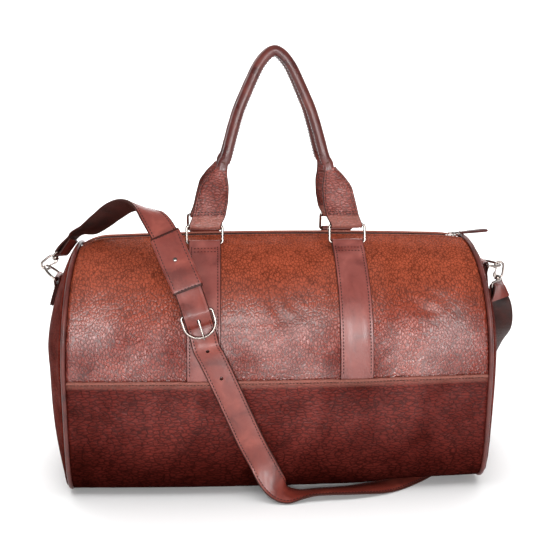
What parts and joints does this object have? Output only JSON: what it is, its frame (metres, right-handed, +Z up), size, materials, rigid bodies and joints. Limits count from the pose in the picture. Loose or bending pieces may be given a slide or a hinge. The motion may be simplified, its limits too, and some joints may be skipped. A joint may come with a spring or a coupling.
{
  "type": "travel bag",
  "caption": "Pebbled red-brown leather duffel bag with rolled handles on rings, an open-ended zip top and a detachable buckled shoulder strap",
  "frame": {"origin": "centre of the flat base, on the surface that the bag stands on", "axes": "X along the bag, towards the end with the closed slider; Y towards the back; Z up"},
  "size_m": [0.6142, 0.2862, 0.5314],
  "materials": {
    "bag_leather": "pebbled and glossy, red-brown",
    "base_leather": "pebbled and glossy, darker red-brown",
    "strap_leather": "smooth red-brown with darker edges, stitched",
    "handle_leather": "smooth red-brown roll",
    "shoulder_leather": "dark maroon-brown, smooth",
    "piping": "dark red-brown cord piping",
    "pull_leather": "dark red-brown tab",
    "lining_fabric": "plain woven lining",
    "cord_core": "twisted cotton cord",
    "board": "stiff fibre board",
    "zip_tape": "woven tape",
    "nickel": "polished nickel"
  },
  "bodies": {
    "bag": {"front_panel": "bag_leather", "back_panel": "bag_leather", "end_panel_left": "bag_leather", "end_panel_right": "bag_leather", "base_wrap": "base_leather", "piping_left": "piping", "piping_right": "piping", "lining": "lining_fabric", "base_board": "board", "zip_tape_front": "zip_tape", "zip_tape_back": "zip_tape", "zip_teeth_front": "nickel", "zip_teeth_back": "nickel", "zip_stop_left": "nickel", "zip_stop_right": "nickel", "body_strap_front_left": "strap_leather", "body_strap_back_left": "strap_leather", "d_tab_left": "strap_leather", "body_strap_front_right": "strap_leather", "body_strap_back_right": "strap_leather", "d_tab_right": "strap_leather", "strap_long_part": "shoulder_leather", "strap_short_part": "shoulder_leather", "strap_sleeve": "shoulder_leather", "strap_rivet": "nickel"},
    "zip_slider": {"zip_slider": "nickel"},
    "zip_link": {"zip_link": "nickel"},
    "zip_pull_tab": {"zip_pull_tab": "pull_leather"},
    "rings_front": {"ring_front_left": "nickel", "ring_front_right": "nickel"},
    "handle_front": {"handle_tab_front_left": "strap_leather", "handle_tab_front_right": "strap_leather", "handle_roll_front": "handle_leather", "handle_core_front": "cord_core"},
    "rings_back": {"ring_back_left": "nickel", "ring_back_right": "nickel"},
    "handle_back": {"handle_tab_back_left": "strap_leather", "handle_tab_back_right": "strap_leather", "handle_roll_back": "handle_leather", "handle_core_back": "cord_core"},
    "d_ring_left": {"d_ring_left": "nickel"},
    "hook_eye_left": {"hook_eye_left": "nickel"},
    "hook_body_left": {"hook_body_left": "nickel"},
    "hook_gate_left": {"hook_gate_left": "nickel"},
    "d_ring_right": {"d_ring_right": "nickel"},
    "hook_eye_right": {"hook_eye_right": "nickel"},
    "hook_body_right": {"hook_body_right": "nickel"},
    "hook_gate_right": {"hook_gate_right": "nickel"},
    "buckle_frame": {"buckle_frame": "nickel"},
    "buckle_prong": {"buckle_prong": "nickel"}
  },
  "joints": [
    {"name": "zip_run", "type": "slide", "parent": "bag", "child": "zip_slider", "axis": [-1, 0, 0], "range_m": [0, 0.42]},
    {"name": "zip_link_turn", "type": "hinge", "parent": "zip_slider", "child": "zip_link", "pos_m": [0.2305, 0, 0.2961], "axis": [0, -1, 0], "range_deg": [0, 60]},
    {"name": "zip_pull_turn", "type": "hinge", "parent": "zip_link", "child": "zip_pull_tab", "pos_m": [0.24106, 0, 0.29702], "axis": [0, -1, 0], "range_deg": [0, 40]},
    {"name": "rings_front_turn", "type": "hinge", "parent": "bag", "child": "rings_front", "pos_m": [0, -0.04915, 0.29554], "axis": [1, 0, 0], "range_deg": [0, 45]},
    {"name": "handle_front_turn", "type": "hinge", "parent": "rings_front", "child": "handle_front", "pos_m": [0, -0.04471, 0.31648], "axis": [1, 0, 0], "range_deg": [0, 75]},
    {"name": "rings_back_turn", "type": "hinge", "parent": "bag", "child": "rings_back", "pos_m": [0, 0.04915, 0.29554], "axis": [-1, 0, 0], "range_deg": [0, 70]},
    {"name": "handle_back_turn", "type": "hinge", "parent": "rings_back", "child": "handle_back", "pos_m": [0, 0.04471, 0.31648], "axis": [-1, 0, 0], "range_deg": [0, 80]},
    {"name": "d_ring_left_turn", "type": "hinge", "parent": "bag", "child": "d_ring_left", "pos_m": [-0.27185, 0, 0.24452], "axis": [0, 1, 0], "range_deg": [0, 5]},
    {"name": "hook_eye_left_turn", "type": "hinge", "parent": "bag", "child": "hook_eye_left", "pos_m": [-0.26628, 0, 0.27661], "axis": [0.1697, 0.9613, -0.2172], "range_deg": [-2, 2]},
    {"name": "hook_swivel_left", "type": "hinge", "parent": "hook_eye_left", "child": "hook_body_left", "pos_m": [-0.28835, 0, 0.25938], "axis": [0.788, 0, 0.6157], "range_deg": [-20, 20]},
    {"name": "hook_gate_left_turn", "type": "hinge", "parent": "hook_body_left", "child": "hook_gate_left", "pos_m": [-0.27605, 0, 0.26315], "axis": [0, 1, 0], "range_deg": [0, 25], "stiffness_Nm_per_rad": 0.02, "springref_deg": -5.73},
    {"name": "d_ring_right_turn", "type": "hinge", "parent": "bag", "child": "d_ring_right", "pos_m": [0.27304, 0, 0.25704], "axis": [0, 1, 0], "range_deg": [0, 5]},
    {"name": "hook_eye_right_turn", "type": "hinge", "parent": "bag", "child": "hook_eye_right", "pos_m": [0.29288, 0, 0.22681], "axis": [-0.5999, -0.7986, 0.0483], "range_deg": [-2, 2]},
    {"name": "hook_swivel_right", "type": "hinge", "parent": "hook_eye_right", "child": "hook_body_right", "pos_m": [0.29512, 0, 0.25472], "axis": [-0.0802, 0, -0.9968], "range_deg": [-20, 20]},
    {"name": "hook_gate_right_turn", "type": "hinge", "parent": "hook_body_right", "child": "hook_gate_right", "pos_m": [0.28958, 0, 0.24311], "axis": [0, 1, 0], "range_deg": [0, 25], "stiffness_Nm_per_rad": 0.02, "springref_deg": -5.73},
    {"name": "buckle_frame_turn", "type": "hinge", "parent": "bag", "child": "buckle_frame", "pos_m": [-0.0978, -0.1318, 0.23012], "axis": [-0.9592, -0.0709, -0.2737], "range_deg": [0, 1.5]},
    {"name": "buckle_prong_turn", "type": "hinge", "parent": "buckle_frame", "child": "buckle_prong", "pos_m": [-0.0978, -0.1318, 0.23012], "axis": [-0.9592, -0.0709, -0.2737], "range_deg": [0, 3]}
  ]
}
